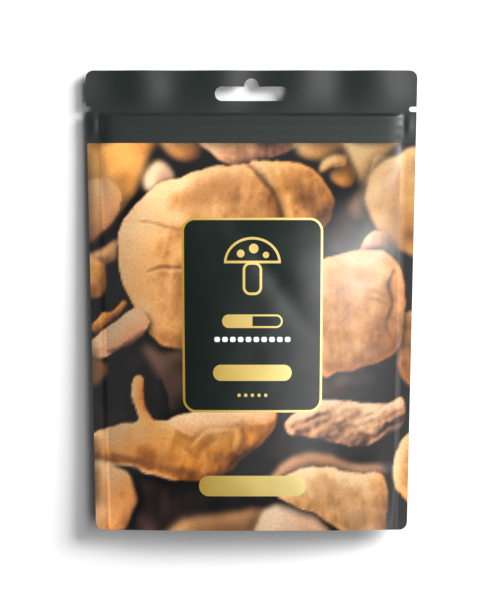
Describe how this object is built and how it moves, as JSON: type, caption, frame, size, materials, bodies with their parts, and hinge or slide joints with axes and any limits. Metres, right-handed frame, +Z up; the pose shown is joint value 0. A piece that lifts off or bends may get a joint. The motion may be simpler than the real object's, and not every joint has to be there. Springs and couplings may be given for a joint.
{
  "type": "resealable stand-up pouch of capsules",
  "caption": "Unopened resealable stand-up pouch of hard capsules with a hanging header, tear notches, a press-to-close zip and a mushroom print, lying on its back.",
  "frame": {"origin": "on the surface the pouch lies on, under the middle of its outline", "axes": "+X across the pouch, towards its right side seal seen from the front; +Y along the pouch, from the bottom gusset to the hanging header; +Z up, out of the printed front"},
  "size_m": [0.1448, 0.2001, 0.0265],
  "materials": {
    "printed_film": "printed matte laminate film with gold foil lines",
    "dark_film": "plain dark matte laminate film",
    "zip_polyethylene": "natural translucent polyethylene",
    "capsule_shell": "clear two-piece capsule with tan powder"
  },
  "bodies": {
    "root": {"back_panel": "dark_film", "bottom_gusset": "dark_film", "capsule_row_01": "capsule_shell", "capsule_row_02": "capsule_shell", "capsule_row_03": "capsule_shell", "capsule_row_04": "capsule_shell", "capsule_row_05": "capsule_shell", "capsule_row_06": "capsule_shell", "capsule_row_07": "capsule_shell", "capsule_row_08": "capsule_shell", "capsule_row_09": "capsule_shell", "capsule_row_10": "capsule_shell", "capsule_row_11": "capsule_shell", "capsule_row_12": "capsule_shell", "capsule_row_13": "capsule_shell", "capsule_row_14": "capsule_shell", "capsule_row_15": "capsule_shell", "capsule_row_16": "capsule_shell", "capsule_row_17": "capsule_shell", "capsule_row_18": "capsule_shell", "capsule_row_19": "capsule_shell", "capsule_row_20": "capsule_shell", "capsule_row_21": "capsule_shell", "capsule_row_22": "capsule_shell", "capsule_row_23": "capsule_shell", "capsule_row_24": "capsule_shell", "capsule_row_25": "capsule_shell", "capsule_row_26": "capsule_shell", "capsule_row_27": "capsule_shell", "capsule_row_28": "capsule_shell", "capsule_row_29": "capsule_shell", "capsule_row_30": "capsule_shell", "capsule_row_31": "capsule_shell", "capsule_row_32": "capsule_shell", "capsule_row_33": "capsule_shell", "capsule_row_34": "capsule_shell", "capsule_row_35": "capsule_shell", "capsule_row_36": "capsule_shell", "front_panel": "printed_film", "zip_groove_strip": "zip_polyethylene", "zip_rib_strip": "zip_polyethylene"}
  },
  "joints": []
}
